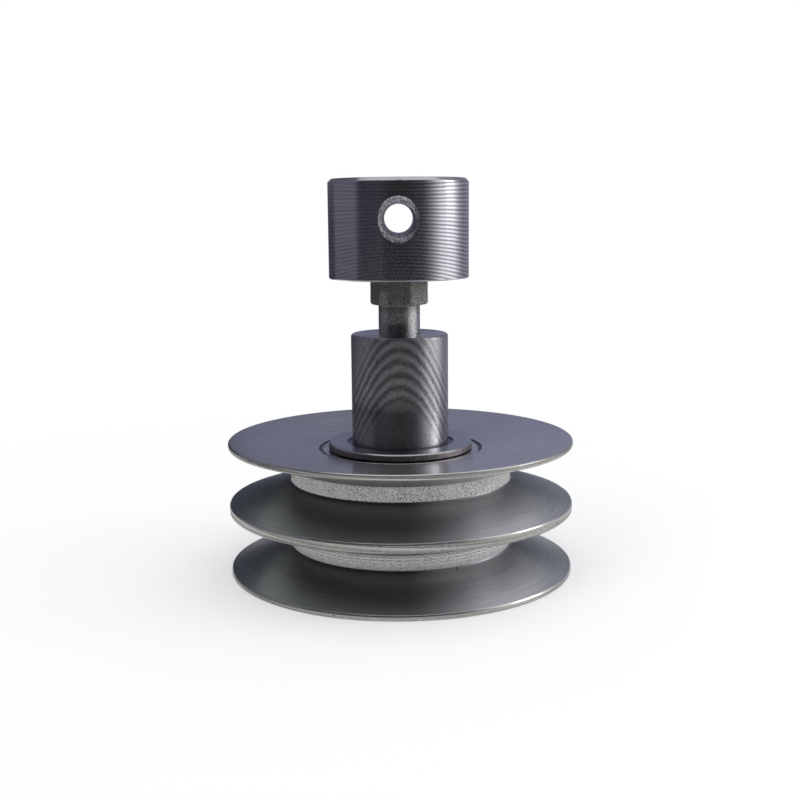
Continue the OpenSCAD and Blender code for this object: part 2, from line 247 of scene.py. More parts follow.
def lathe(name, outline, segments, longest=4 * MM, shape=None):
    """Turn an outline of (radius, height, finish) points round the Z axis into a smooth mesh. An outline that
    starts on the axis is open, any other is a closed loop. shape(radius, height, angle) can change
    a radius."""
    is_open = outline[0][0] == 0
    points = []
    for i, (r, z, finish) in enumerate(outline):
        points.append((r, z, finish))
        if is_open and i == len(outline) - 1:
            break
        r2, z2 = outline[(i + 1) % len(outline)][:2]
        parts = max(1, math.ceil(math.hypot(r2 - r, z2 - z) / longest))
        points += [(r + (r2 - r) * k / parts, z + (z2 - z) * k / parts, finish) for k in range(1, parts)]
    verts, faces, finishes, rings = [], [], [], []
    for r, z, _ in points:
        turns = 1 if r == 0 else segments
        rings.append((len(verts), turns))
        for k in range(turns):
            a = 2 * math.pi * k / segments
            real = shape(r, z, a) if shape and r else r
            verts.append((real * math.sin(a), -real * math.cos(a), z))
    last = len(points) - 1 if is_open else len(points)
    for i in range(last):
        (a0, a_turns), (b0, b_turns) = rings[i], rings[(i + 1) % len(points)]
        for k in range(segments):
            n = (k + 1) % segments
            if a_turns == 1:
                face = (a0, b0 + k, b0 + n)
            elif b_turns == 1:
                face = (a0 + k, b0, a0 + n)
            else:
                face = (a0 + k, b0 + k, b0 + n, a0 + n)
            faces.append(face)
            finishes.append(points[i][2])
    mesh = bpy.data.meshes.new(name)
    mesh.from_pydata(verts, [], faces)
    mesh.polygons.foreach_set("material_index", finishes)
    work = bmesh.new()
    work.from_mesh(mesh)
    bmesh.ops.recalc_face_normals(work, faces=work.faces)
    work.to_mesh(mesh)
    work.free()
    mesh.shade_smooth()
    mesh.set_sharp_from_angle(angle=math.radians(35))
    obj = bpy.data.objects.new(name, mesh)
    bpy.context.scene.collection.objects.link(obj)
    return obj


def drill(obj, cutter):
    """Cut one mesh out of another for good; the cut faces take the cutter's finish."""
    step = obj.modifiers.new("drill", "BOOLEAN")
    step.object = cutter
    step.operation = "DIFFERENCE"
    step.solver = "EXACT"
    step.material_mode = "TRANSFER"
    bpy.context.view_layer.update()
    cut = bpy.data.meshes.new_from_object(obj.evaluated_get(bpy.context.evaluated_depsgraph_get()))
    obj.modifiers.clear()
    obj.data = cut
    cut.shade_smooth()
    cut.set_sharp_from_angle(angle=math.radians(28))
    bpy.data.objects.remove(cutter)


def dress(piece, node, slot, body, *materials):
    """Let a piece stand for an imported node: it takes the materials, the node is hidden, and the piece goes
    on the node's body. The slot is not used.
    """
    for material in materials:
        piece.data.materials.append(material)
    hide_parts(node)
    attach(piece, body)


def finish_nodes(names, material):
    """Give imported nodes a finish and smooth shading, with their edges kept sharp."""
    for name in names:
        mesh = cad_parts[name].data
        mesh.materials.clear()
        mesh.materials.append(material)
        mesh.shade_smooth()
        mesh.set_sharp_from_angle(angle=math.radians(30))


# Finishes

def metal(name, roughness, anisotropic=0.0):
    """A bare metal. Returns the material, its tree, its shader and the place in millimetres."""
    material = bpy.data.materials.new(name)
    material.use_nodes = True
    tree = material.node_tree
    shader = tree.nodes["Principled BSDF"]
    shader.inputs["Metallic"].default_value = 1.0
    shader.inputs["Roughness"].default_value = roughness
    shader.inputs["Anisotropic"].default_value = anisotropic
    if anisotropic:
        shader.inputs["Anisotropic Rotation"].default_value = 0.25
        tangent = add(tree, "ShaderNodeTangent", direction_type="RADIAL", axis="Z")
        tree.links.new(tangent, shader.inputs["Tangent"])
    here = add(tree, "ShaderNodeTexCoord", output="Object")
    place = add(tree, "ShaderNodeVectorMath", {0: here, "Scale": 1 / MM}, operation="SCALE")
    return material, tree, shader, place


def from_axis(tree, place):
    """How far a place is from the Z axis."""
    level = add(tree, "ShaderNodeVectorMath", {0: place, 1: (1, 1, 0)}, operation="MULTIPLY")
    return add(tree, "ShaderNodeVectorMath", {0: level}, output=1, operation="LENGTH")


def streaks(tree, place, across, per_mm, detail=3.0):
    """Noise drawn out round the axis, as a turning tool leaves it: fine along `across`, slow elsewhere."""
    slow = add(tree, "ShaderNodeVectorMath", {0: place, "Scale": MARK_DRIFT}, operation="SCALE")
    fine = add(tree, "ShaderNodeMath", {0: across, 1: per_mm}, operation="MULTIPLY")
    fine = add(tree, "ShaderNodeCombineXYZ", {0: fine})
    where = add(tree, "ShaderNodeVectorMath", {0: slow, 1: fine}, operation="ADD")
    return add(tree, "ShaderNodeTexNoise",
               {"Vector": where, "Scale": 1.0, "Detail": detail, "Roughness": 0.6})


def shaded(tree, base, pattern, start, end, low, high):
    """A colour multiplied by a pattern, whose start..end becomes low..high."""
    level = add(tree, "ShaderNodeMapRange", {0: pattern, 1: start, 2: end, 3: low, 4: high})
    return add(tree, "ShaderNodeVectorMath", {0: base[:3], "Scale": level}, operation="SCALE")


def finish(tree, shader, shade, height, strength, depth):
    """Hand the shader its colour, and a surface that a pattern raises by a depth."""
    tree.links.new(shade, shader.inputs["Base Color"])
    bump = add(tree, "ShaderNodeBump", {"Strength": strength, "Distance": depth, "Height": height})
    tree.links.new(bump, shader.inputs["Normal"])


def specks(tree, place, scale, size):
    """Scattered round spots: cells are 1/scale millimetres wide, and a spot's radius is `size` of a cell."""
    core = 0.6  # the part of that radius inside which a spot is at full strength
    cells = add(tree, "ShaderNodeTexVoronoi", {"Vector": place, "Scale": scale, "Randomness": 1.0})
    return add(tree, "ShaderNodeMapRange", {0: cells, 1: size, 2: size * core})


def turned_face_steel(name, base, pit, roughness, per_mm):
    """Fine-turned face: close concentric marks smear reflections along the radius and leave them sharp
    across it, with faint rings, slow blotches and a few specks."""
    material, tree, shader, place = metal(name, roughness, 0.8)
    marks = streaks(tree, place, from_axis(tree, place), per_mm)
    blotches = add(tree, "ShaderNodeTexNoise", {"Vector": place, "Scale": 0.09, "Detail": 4.0})
    both = add(tree, "ShaderNodeMath", {0: marks, 1: blotches}, operation="ADD")
    spread = 0.03
    rough = add(tree, "ShaderNodeMapRange",
                {0: both, 1: 0.6, 2: 1.4, 3: roughness - spread, 4: roughness + spread})
    tree.links.new(rough, shader.inputs["Roughness"])
    shade = shaded(tree, base, both, 0.6, 1.4, 0.86, 1.08)
    shade = add(tree, "ShaderNodeMix", {0: specks(tree, place, 0.14, 0.05), 6: shade, 7: pit}, **BLEND)
    finish(tree, shader, shade, marks, 0.25, 0.004 * MM)
    return material


def groove_wall_steel(base, root_shade, pit, root):
    """Turned groove wall: satin, with the tool's close marks, and a greenish painted shade that deepens
    towards the root. Round the front right that shade is painted lighter, as painted light from that side."""
    material, tree, shader, place = metal("root_shade_wall_steel", 0.36, 0.5)
    radius = from_axis(tree, place)
    marks = streaks(tree, place, radius, 1.2)
    level = add(tree, "ShaderNodeMapRange", {0: marks, 1: 0.3, 2: 0.7, 3: 0.88, 4: 1.08})
    # Painted light: round the front right the walls' painted shade is lighter, as if lit from there.
    away = add(tree, "ShaderNodeVectorMath", {0: place, 1: LIT_SIDE}, output=1, operation="DOT_PRODUCT")
    away = add(tree, "ShaderNodeMath", {0: away, 1: radius}, operation="DIVIDE")
    lit_share = add(tree, "ShaderNodeMapRange", {0: away, 1: 0.76, 2: 0.98}, interpolation_type="SMOOTHSTEP")
    # Painted shade: darker and greenish towards the root, and less dark where the painted light falls.
    deep_shade = shaded(tree, root_shade, radius, root, root + ROOT_SHADE_REACH, 0.2, 1.0)
    light_shade = shaded(tree, base, radius, root, root + ROOT_SHADE_REACH, 0.5, 0.96)
    shade = add(tree, "ShaderNodeMix", {0: lit_share, 6: deep_shade, 7: light_shade}, **BLEND)
    shade = add(tree, "ShaderNodeVectorMath", {0: shade, "Scale": level}, operation="SCALE")
    shade = add(tree, "ShaderNodeMix", {0: specks(tree, place, 0.16, 0.06), 6: shade, 7: pit}, **BLEND)
    finish(tree, shader, shade, marks, 0.3, 0.006 * MM)
    return material


def rim_steel(base, pit):
    """Faced rim: dry tool streaks round the edge, a sandy grain, and spots of dirt in them."""
    material, tree, shader, place = metal("faced_rim_steel", 0.42)
    height = add(tree, "ShaderNodeSeparateXYZ", {0: place}, output=2)
    marks = streaks(tree, place, height, 1.9, 1.0)
    grain = add(tree, "ShaderNodeTexNoise", {"Vector": place, "Scale": 2.6, "Detail": 3.0, "Roughness": 0.8})
    both = add(tree, "ShaderNodeMath", {0: marks, 1: 1.5, 2: grain}, operation="MULTIPLY_ADD")
    shade = shaded(tree, base, both, 0.95, 1.55, 0.35, 1.3)
    dirt = add(tree, "ShaderNodeTexNoise", {"Vector": place, "Scale": 0.5, "Detail": 5.0, "Roughness": 0.75})
    spots = add(tree, "ShaderNodeMapRange", {0: dirt, 1: 0.64, 2: 0.7})
    shade = add(tree, "ShaderNodeMix", {0: spots, 6: shade, 7: pit}, **BLEND)
    finish(tree, shader, shade, both, 0.7, 0.03 * MM)
    return material


def grainy_root_steel(base, pit):
    """Cast and barely turned root: pale and sandy, with dark pits where the casting was open. Its metal is
    under a dry grey skin, so it isn't fully metallic."""
    material, tree, shader, place = metal("grainy_root_steel", 0.6)
    shader.inputs["Metallic"].default_value = 0.3
    grain = add(tree, "ShaderNodeTexNoise", {"Vector": place, "Scale": 2.4, "Detail": 4.0, "Roughness": 0.85})
    patches = add(tree, "ShaderNodeTexNoise", {"Vector": place, "Scale": 0.1, "Detail": 3.0})
    some = add(tree, "ShaderNodeMapRange", {0: patches, 1: 0.44, 2: 0.54, 3: 0.35, 4: 0.95})
    pits = add(tree, "ShaderNodeMath", {0: specks(tree, place, 1.9, 0.36), 1: some}, operation="MULTIPLY")
    shade = shaded(tree, base, grain, 0.4, 0.58, 0.52, 1.08)
    shade = add(tree, "ShaderNodeMix", {0: pits, 6: shade, 7: pit}, **BLEND)
    finish(tree, shader, shade, grain, 0.9, 0.08 * MM)
    return material


def ridged_root_steel(base, pit, band, level):
    """Rough-turned root: the tool stepped over its upper half, which left ridges crossed by chatter beads
    about 2.4 millimetres apart, and ran smoothly over the lower half."""
    material, tree, shader, place = metal("ridged_root_steel", 0.55)
    shader.inputs["Metallic"].default_value = 0.35
    parts = add(tree, "ShaderNodeSeparateXYZ", {0: place}).node
    height = parts.outputs[2]
    angle = add(tree, "ShaderNodeMath", {0: parts.outputs[0], 1: parts.outputs[1]}, operation="ARCTAN2")
    ridge_turn = add(tree, "ShaderNodeMath", {0: height, 1: 2 * math.pi / RIDGE_PITCH}, operation="MULTIPLY")
    ridges = add(tree, "ShaderNodeMath", {0: ridge_turn}, operation="SINE")
    bead_turn = add(tree, "ShaderNodeMath", {0: angle, 1: RIDGE_BEADS}, operation="MULTIPLY")
    beads = add(tree, "ShaderNodeMath", {0: bead_turn}, operation="SINE")
    chatter = add(tree, "ShaderNodeMath", {0: beads, 1: ridges, 2: ridges}, operation="MULTIPLY_ADD")
    upper = add(tree, "ShaderNodeMapRange", {0: height, 1: level - 1.2, 2: level + 0.4})
    chatter = add(tree, "ShaderNodeMath", {0: chatter, 1: upper}, operation="MULTIPLY")
    grain = add(tree, "ShaderNodeTexNoise", {"Vector": place, "Scale": 2.4, "Detail": 4.0, "Roughness": 0.85})
    both = add(tree, "ShaderNodeMath", {0: chatter, 1: 0.09, 2: grain}, operation="MULTIPLY_ADD")
    shade = shaded(tree, base, both, 0.35, 0.65, 0.5, 1.1)
    smooth = add(tree, "ShaderNodeMapRange", {0: height, 1: level - 0.2, 2: level - 1.6, 4: 0.6})
    shade = add(tree, "ShaderNodeMix", {0: smooth, 6: shade, 7: band}, **BLEND)
    shade = add(tree, "ShaderNodeMix", {0: specks(tree, place, 1.7, 0.24), 6: shade, 7: pit}, **BLEND)
    bumps = add(tree, "ShaderNodeMath", {0: chatter, 1: 0.5, 2: grain}, operation="MULTIPLY_ADD")
    finish(tree, shader, shade, bumps, 0.8, 0.06 * MM)
    return material


def ringed_boss_steel(base):
    """Turned boss: the tool left rings a little under a millimetre apart. They break up every reflection,
    level near the top and sagging towards the sides lower down, where the tool sprang. Their light and dark
    bands are a painted highlight, strongest on the right, where the bright reflection falls."""
    material, tree, shader, place = metal("ringed_boss_steel", 0.22, 0.7)
    parts = add(tree, "ShaderNodeSeparateXYZ", {0: place}).node
    height = parts.outputs[2]
    marks = streaks(tree, place, height, 1.6)
    right = add(tree, "ShaderNodeMath", {0: parts.outputs[0], 1: from_axis(tree, place)}, operation="DIVIDE")
    # Painted highlight: the rings' light and dark bands are painted strongest on the right, where the bright
    # reflection falls.
    ring_highlight = add(tree, "ShaderNodeMapRange", {0: right, 1: -0.1, 2: 0.5, 3: 0.3, 4: 1.0})
    side = add(tree, "ShaderNodeMath", {0: right, 1: right}, operation="MULTIPLY")
    below = add(tree, "ShaderNodeMath", {0: RING_TOP, 1: height}, operation="SUBTRACT")
    sag = add(tree, "ShaderNodeMath", {0: below, 1: side}, operation="MULTIPLY")
    level = add(tree, "ShaderNodeMath", {0: sag, 1: RING_SAG, 2: height}, operation="MULTIPLY_ADD")
    drift = add(tree, "ShaderNodeTexNoise", {"Vector": place, "Scale": 0.06, "Detail": 2.0})
    drift = add(tree, "ShaderNodeMath", {0: drift, 1: 2.0}, operation="MULTIPLY")
    turn = add(tree, "ShaderNodeMath", {0: level, 1: 2 * math.pi / RING_PITCH, 2: drift},
               operation="MULTIPLY_ADD")
    rings = add(tree, "ShaderNodeMath", {0: turn}, operation="SINE")
    rings = add(tree, "ShaderNodeMath", {0: rings, 1: ring_highlight}, operation="MULTIPLY")
    both = add(tree, "ShaderNodeMath", {0: marks, 1: 1.2, 2: rings}, operation="MULTIPLY_ADD")
    finish(tree, shader, shaded(tree, base, both, -0.5, 1.7, 0.5, 1.6), rings, 0.5, 0.006 * MM)
    return material


def arched_shaft_steel(base, crown, fade):
    """Turned and ground shoulder: satin, with the broad nested arches that two sets of fine marks make where
    they cross. The arches stand under each other at the front and back, fine at their feet, round a smooth
    lower part."""
    material, tree, shader, place = metal("arched_shaft_steel", 0.3, 0.5)
    parts = add(tree, "ShaderNodeSeparateXYZ", {0: place}).node
    height = parts.outputs[2]
    side = add(tree, "ShaderNodeMath", {0: parts.outputs[0], 1: from_axis(tree, place)}, operation="DIVIDE")
    side = add(tree, "ShaderNodeMath", {0: side, 1: side}, operation="MULTIPLY")
    level = add(tree, "ShaderNodeMath", {0: side, 1: ARCH_DROP, 2: height}, operation="MULTIPLY_ADD")
    fall = add(tree, "ShaderNodeMath", {0: crown, 1: level}, operation="SUBTRACT")
    wander = add(tree, "ShaderNodeTexNoise", {"Vector": place, "Scale": 0.4, "Detail": 3.0})
    wander = add(tree, "ShaderNodeMapRange", {0: wander, 3: -1.2, 4: 1.2})
    turn = add(tree, "ShaderNodeMath", {0: fall, 1: 2 * math.pi / ARCH_PITCH, 2: wander},
               operation="MULTIPLY_ADD")
    arches = add(tree, "ShaderNodeMath", {0: turn}, operation="SINE")
    fine_turn = add(tree, "ShaderNodeMath", {0: turn, 1: 3.0}, operation="MULTIPLY")
    fine = add(tree, "ShaderNodeMath", {0: fine_turn}, operation="SINE")
    fine = add(tree, "ShaderNodeMath", {0: fine, 1: side}, operation="MULTIPLY")
    arches = add(tree, "ShaderNodeMath", {0: fine, 1: 0.7, 2: arches}, operation="MULTIPLY_ADD")
    arches = add(tree, "ShaderNodeMath", {0: arches, 1: 0.6}, operation="SUBTRACT")
    above = add(tree, "ShaderNodeMapRange", {0: level, 1: fade - 1.5, 2: fade + 2.5, 3: 0.0, 4: 1.0})
    arches = add(tree, "ShaderNodeMath", {0: arches, 1: above}, operation="MULTIPLY")
    below = add(tree, "ShaderNodeMapRange", {0: level, 1: crown, 2: crown + 9, 3: 1.0, 4: 0.15})
    arches = add(tree, "ShaderNodeMath", {0: arches, 1: below}, operation="MULTIPLY")
    feet = add(tree, "ShaderNodeMapRange", {0: height, 1: fade - 11, 2: fade - 1, 3: 0.45, 4: 1.0})
    arches = add(tree, "ShaderNodeMath", {0: arches, 1: feet}, operation="MULTIPLY")
    grain = add(tree, "ShaderNodeTexNoise", {"Vector": place, "Scale": 2.2, "Detail": 4.0, "Roughness": 0.8})
    both = add(tree, "ShaderNodeMath", {0: arches, 1: 0.15, 2: grain}, operation="MULTIPLY_ADD")
    finish(tree, shader, shaded(tree, base, both, 0.22, 0.7, 0.3, 1.28), grain, 0.4, 0.01 * MM)
    return material


def turned_neck_steel(base, scale, top):
    """Turned neck: satin with a bright speckled grain, going over to grey scale under the hexagon."""
    material, tree, shader, place = metal("turned_neck_steel", 0.3, 0.4)
    grain = add(tree, "ShaderNodeTexNoise", {"Vector": place, "Scale": 2.4, "Detail": 4.0, "Roughness": 0.85})
    height = add(tree, "ShaderNodeSeparateXYZ", {0: place}, output=2)
    edge = add(tree, "ShaderNodeMath", {0: grain, 1: 4.0, 2: height}, operation="MULTIPLY_ADD")
    scaled = add(tree, "ShaderNodeMapRange", {0: edge, 1: top - 0.6, 2: top + 1.8})
    shade = shaded(tree, base, grain, 0.4, 0.62, 0.4, 1.7)
    shade = add(tree, "ShaderNodeMix", {0: scaled, 6: shade, 7: scale}, **BLEND)
    finish(tree, shader, shade, grain, 0.8, 0.04 * MM)
    return material


def forged_steel(base, pit, grit, foot):
    """Forged and blasted steel: a coarse dull grey skin with dark hollows, and bright grains that are partly
    painted glints, more of them low down.
    """
    material, tree, shader, place = metal("blasted_forged_steel", 0.48)
    grain = add(tree, "ShaderNodeTexNoise", {"Vector": place, "Scale": 2.2, "Detail": 5.0, "Roughness": 0.85})
    level = add(tree, "ShaderNodeMapRange", {0: grain, 1: 0.38, 2: 0.56})
    skin = add(tree, "ShaderNodeMix", {0: level, 6: pit, 7: base}, **BLEND)
    # Painted glints: sparse bright grains, more of them low on the stud.
    painted_glints = add(tree, "ShaderNodeTexNoise",
                 {"Vector": place, "Scale": 3.0, "Detail": 3.0, "Roughness": 0.85})
    painted_glints = add(tree, "ShaderNodeMapRange", {0: painted_glints, 1: 0.56, 2: 0.65})
    height = add(tree, "ShaderNodeSeparateXYZ", {0: place}, output=2)
    lower = add(tree, "ShaderNodeMapRange", {0: height, 1: foot + 6.0, 2: foot + 1.0, 3: 0.15, 4: 0.9})
    painted_glints = add(tree, "ShaderNodeMath", {0: painted_glints, 1: lower}, operation="MULTIPLY")
    skin = add(tree, "ShaderNodeMix", {0: painted_glints, 6: skin, 7: grit}, **BLEND)
    finish(tree, shader, skin, grain, 0.9, 0.12 * MM)
    return material


def washer_side_steel(base, grit):
    """Side of the washer: heat-tinted purple-brown with bright grains, from a coarse saw or punch."""
    material, tree, shader, place = metal("tinted_washer_steel", 0.45)
    grain = add(tree, "ShaderNodeTexNoise", {"Vector": place, "Scale": 1.8, "Detail": 4.0, "Roughness": 0.8})
    level = add(tree, "ShaderNodeMapRange", {0: grain, 1: 0.46, 2: 0.66})
    shade = add(tree, "ShaderNodeMix", {0: level, 6: base, 7: grit}, **BLEND)
    finish(tree, shader, shade, grain, 0.9, 0.08 * MM)
    return material


def bored_steel(base):
    """Bored and countersunk steel: rings round the hole's own axis, the Y axis, that glint one by one. They
    are drawn about half a millimetre apart, twice as coarse as real ones, to show."""
    material, tree, shader, place = metal("bored_steel", 0.3)
    side = add(tree, "ShaderNodeSeparateXYZ", {0: place}, output=1)
    marks = streaks(tree, place, side, 2.2)
    grain = add(tree, "ShaderNodeTexNoise", {"Vector": place, "Scale": 1.8, "Detail": 3.0, "Roughness": 0.8})
    both = add(tree, "ShaderNodeMath", {0: marks, 1: grain}, operation="ADD")
    finish(tree, shader, shaded(tree, base, both, 0.85, 1.2, 0.15, 2.0), both, 1.0, 0.2 * MM)
    return material


def smooth_steel(name, base, roughness, scale, depth):
    """Ground, polished or pressed steel: a plain metal with a faint wander in tone and surface."""
    material, tree, shader, place = metal(name, roughness)
    wander = add(tree, "ShaderNodeTexNoise", {"Vector": place, "Scale": scale, "Detail": 4.0})
    rough = add(tree, "ShaderNodeMapRange", {0: wander, 3: roughness * 0.8, 4: roughness * 1.25})
    tree.links.new(rough, shader.inputs["Roughness"])
    finish(tree, shader, shaded(tree, base, wander, 0.3, 0.7, 0.88, 1.05), wander, 0.5, depth)
    return material


def moulded_rubber(base):
    """Moulded nitrile rubber: near black with a soft sheen and a fine orange peel."""
    material, tree, shader, place = metal("moulded_nitrile_rubber", 0.55)
    shader.inputs["Metallic"].default_value = 0.0
    peel = add(tree, "ShaderNodeTexNoise", {"Vector": place, "Scale": 2.5, "Detail": 3.0})
    finish(tree, shader, shaded(tree, base, peel, 0.3, 0.7, 0.8, 1.2), peel, 0.5, 0.02 * MM)
    return material


# Pieces

class IDLER_OT_pulley(Operator):
    """Turn the pulley: three flanges, two V-grooves, dished faces and the stepped bore"""
    bl_idname = "idler.pulley"
    bl_label = "Pulley"

    def execute(self, context):
        s, f = context.scene.idler_pulley, context.scene.idler_finishes
        wall = math.tan(s.groove_angle / 2)
        root_r = s.flange_r - s.groove_depth
        half_root = s.groove_w / 2 - s.groove_depth * wall
        width = PULLEY_HIGH.z
        chamfer, edge = s.rim_chamfer, s.flange_r - s.rim_chamfer
        fine, tight = 0.1 * MM, 0.06 * MM
        FACE, WALL, RIM, LOWER_ROOT, UPPER_ROOT, BORE, SEAM = range(7)

        def rim(low, w, low_slope, high_slope, above):
            return [(edge, low - chamfer * low_slope, fine, RIM), (s.flange_r, low + chamfer, fine, RIM),
                    (s.flange_r, low + w - chamfer, fine, FACE),
                    (edge, low + w + chamfer * high_slope, fine, above)]

        lower_mid = s.outer_rim_w + s.groove_w / 2
        upper_mid = lower_mid + s.groove_w + s.mid_rim_w
        mouth = s.seat_r + s.seat_chamfer
        corners = [(mouth, s.dish_depth, tight, FACE), *rim(0, s.outer_rim_w, 0, wall, WALL)]
        corners += [(root_r, lower_mid - half_root, s.root_ease, LOWER_ROOT),
                    (root_r, lower_mid + half_root, s.root_ease, WALL)]
        corners += rim(lower_mid + s.groove_w / 2, s.mid_rim_w, wall, wall, WALL)
        corners += [(root_r, upper_mid - half_root, s.root_ease, UPPER_ROOT),
                    (root_r, upper_mid + half_root, s.root_ease, WALL)]
        corners += rim(width - s.outer_rim_w, s.outer_rim_w, wall, 0, FACE)
        top = width - s.dish_depth
        corners += [(mouth, top, tight, SEAM), (s.seat_r, top - s.seat_chamfer, tight, BORE),
                    (s.seat_r, top - s.seat_depth, fine, BORE),
                    (s.hub_shoulder_r, top - s.seat_depth, fine, BORE),
                    (s.hub_shoulder_r, s.dish_depth + s.seat_depth, fine, BORE),
                    (s.seat_r, s.dish_depth + s.seat_depth, fine, BORE),
                    (s.seat_r, s.dish_depth + s.seat_chamfer, tight, SEAM)]
        nicks = self.nicks(s, lower_mid, upper_mid, width)

        def knocked(r, z, a):
            for angle, level, depth, spread in nicks:
                if r > s.flange_r - NICK_REACH * MM and abs(z - level) < 2 * spread:
                    gap = (a - angle + math.pi) % (2 * math.pi) - math.pi
                    r -= depth * math.exp(-(gap * s.flange_r / spread) ** 2 - ((z - level) / spread) ** 2)
            return r

        piece = lathe("turned_pulley", rounded(corners), segments=384, shape=knocked)
        dress(piece, "pulley", "turned_pulley_steel", "rotor",
              turned_face_steel("turned_flange_steel", f.flange, f.pit, 0.24, 1.2),
              groove_wall_steel(f.wall, f.root_shade_wall, f.pit, root_r / MM),
              rim_steel(f.rim, f.pit),
              ridged_root_steel(f.root, f.pit, f.root_band, lower_mid / MM),
              grainy_root_steel(f.root, f.pit),
              smooth_steel("bored_seat_steel", f.flange, 0.3, 0.8, 0.01 * MM),
              # Painted shade: the seats' mouths take the pits' dark colour, for the shade in the gap beside
              # each bearing.
              smooth_steel("painted_shade_seam_steel", f.pit, 0.5, 0.8, 0.02 * MM))
        return {"FINISHED"}

    def nicks(self, s, lower_mid, upper_mid, width):
        """Small knocks on the rims' edges: (angle, height, depth, spread)."""
        dice = random.Random(NICK_SEED)
        mid_rim = lower_mid + s.groove_w / 2
        levels = [0.2 * MM, s.outer_rim_w, mid_rim, mid_rim + s.mid_rim_w, upper_mid + s.groove_w / 2, width]
        return [(dice.uniform(0, 2 * math.pi), dice.choice(levels), dice.uniform(*NICK_DEPTHS) * MM,
                 dice.uniform(*NICK_SPREADS) * MM) for _ in range(NICK_COUNT)]


class IDLER_OT_bearings(Operator):
    """Finish both ball bearings: ground rings, polished balls, pressed cages, rubber-faced shields"""
    bl_idname = "idler.bearings"
    bl_label = "Bearings"

    def execute(self, context):
        f = context.scene.idler_finishes
        rings = smooth_steel("ground_bearing_steel", f.bearing, 0.22, 0.5, 0.004 * MM)
        balls = smooth_steel("polished_ball_steel", f.ball, 0.08, 0.3, 0.001 * MM)
        cages = smooth_steel("pressed_cage_steel", f.cage, 0.34, 0.9, 0.02 * MM)
        rubber = moulded_rubber(f.rubber)
        for place in ("upper", "lower"):
            finish_nodes([f"{place}_outer_ring", f"{place}_inner_ring"], rings)
            finish_nodes([f"{place}_balls"], balls)
            finish_nodes([f"{place}_cage_{part}" for part in ("top_half", "bottom_half", "rivets")], cages)
            finish_nodes([f"{place}_top_shield", f"{place}_bottom_shield"], rubber)
        return {"FINISHED"}


class IDLER_OT_washer(Operator):
    """Turn the cover washer, with its recess and its relief underneath"""
    bl_idname = "idler.washer"
    bl_label = "Cover washer"

    def execute(self, context):
        s, f = context.scene.idler_shaft, context.scene.idler_finishes
        low, high, outer, bore = WASHER_LOW.z, WASHER_HIGH.z, WASHER_HIGH.x, 10 * MM
        ease = 0.08 * MM
        TOP, SIDE, RECESS = range(3)
        corners = [(bore, low, ease, TOP), (s.washer_foot_r, low, ease, TOP),
                   (s.washer_foot_r, low + s.washer_gap, ease, TOP), (outer, low + s.washer_gap, ease, SIDE),
                   (outer, high - s.washer_chamfer, ease, TOP), (outer - s.washer_chamfer, high, ease, TOP),
                   (s.recess_r, high, ease, RECESS), (s.recess_r, high - s.washer_recess, ease, RECESS),
                   (bore, high - s.washer_recess, ease, TOP)]
        piece = lathe("turned_cover_washer", rounded(corners), segments=256)
        dress(piece, "cover_washer", "turned_washer_steel", "shaft",
              turned_face_steel("turned_washer_steel", f.washer, f.pit, 0.24, 2.0),
              washer_side_steel(f.washer_side, f.rim),
              # The recess is coloured darker than the rest of the washer.
              smooth_steel("dimmed_recess_steel", f.dimmed, 0.4, 0.8, 0.02 * MM))
        return {"FINISHED"}


class IDLER_OT_shaft(Operator):
    """Turn the stub shaft, and finish the spacer ring and the retaining ring on its journal"""
    bl_idname = "idler.shaft"
    bl_label = "Stub shaft"

    def execute(self, context):
        s, f = context.scene.idler_shaft, context.scene.idler_finishes
        low, high = SHAFT_LOW.z, SHAFT_HIGH.z
        seat = WASHER_HIGH.z - s.washer_recess
        tail = (CLIP_LOW.z - low) / 2
        hole = s.neck_r + FIT_GAP
        clip_low, clip_high = CLIP_LOW.z - FIT_GAP, CLIP_HIGH.z + FIT_GAP
        SHOULDER, FACE, JOURNAL = range(3)
        corners = [(0, low + s.centre_hole_r / math.tan(math.radians(30)), 0, JOURNAL),
                   (s.centre_hole_r, low, 0.1 * MM, FACE), (s.journal_r - tail, low, 0.1 * MM, JOURNAL),
                   (s.journal_r, low + tail, 0.1 * MM, JOURNAL),
                   (s.journal_r, clip_low, 0.05 * MM, JOURNAL),
                   (s.journal_r - s.clip_groove, clip_low, 0.05 * MM, JOURNAL),
                   (s.journal_r - s.clip_groove, clip_high, 0.05 * MM, JOURNAL),
                   (s.journal_r, clip_high, 0.05 * MM, JOURNAL),
                   (s.journal_r, seat, 0.1 * MM, FACE), (s.shoulder_r, seat, 0.15 * MM, SHOULDER),
                   (s.shoulder_r, high - s.shoulder_chamfer, 0.12 * MM, SHOULDER),
                   (s.shoulder_r - s.shoulder_chamfer, high, 0.12 * MM, FACE),
                   (hole + s.tapped_mouth, high, 0.05 * MM, JOURNAL),
                   (hole, high - s.tapped_mouth, 0.05 * MM, JOURNAL),
                   (hole, high - s.tapped_depth, 0.1 * MM, JOURNAL),
                   (0, high - s.tapped_depth - hole / 2, 0, JOURNAL)]
        piece = lathe("turned_stub_shaft", rounded(corners), segments=288)
        dress(piece, "stub_shaft", "turned_shaft_steel", "shaft",
              arched_shaft_steel(f.shaft, high / MM - ARCH_CROWN, high / MM - ARCH_FADE),
              turned_face_steel("faced_shaft_steel", f.shaft, f.pit, 0.26, 2.0),
              smooth_steel("ground_journal_steel", f.shaft, 0.22, 0.8, 0.004 * MM))
        sawn = smooth_steel("sawn_spacer_steel", f.shaft, 0.35, 0.9, 0.01 * MM)
        finish_nodes(["inner_spacer_ring"], sawn)
        phosphated = smooth_steel("phosphated_spring_steel", f.clip, 0.42, 1.6, 0.02 * MM)
        finish_nodes(["retaining_ring"], phosphated)
        return {"FINISHED"}


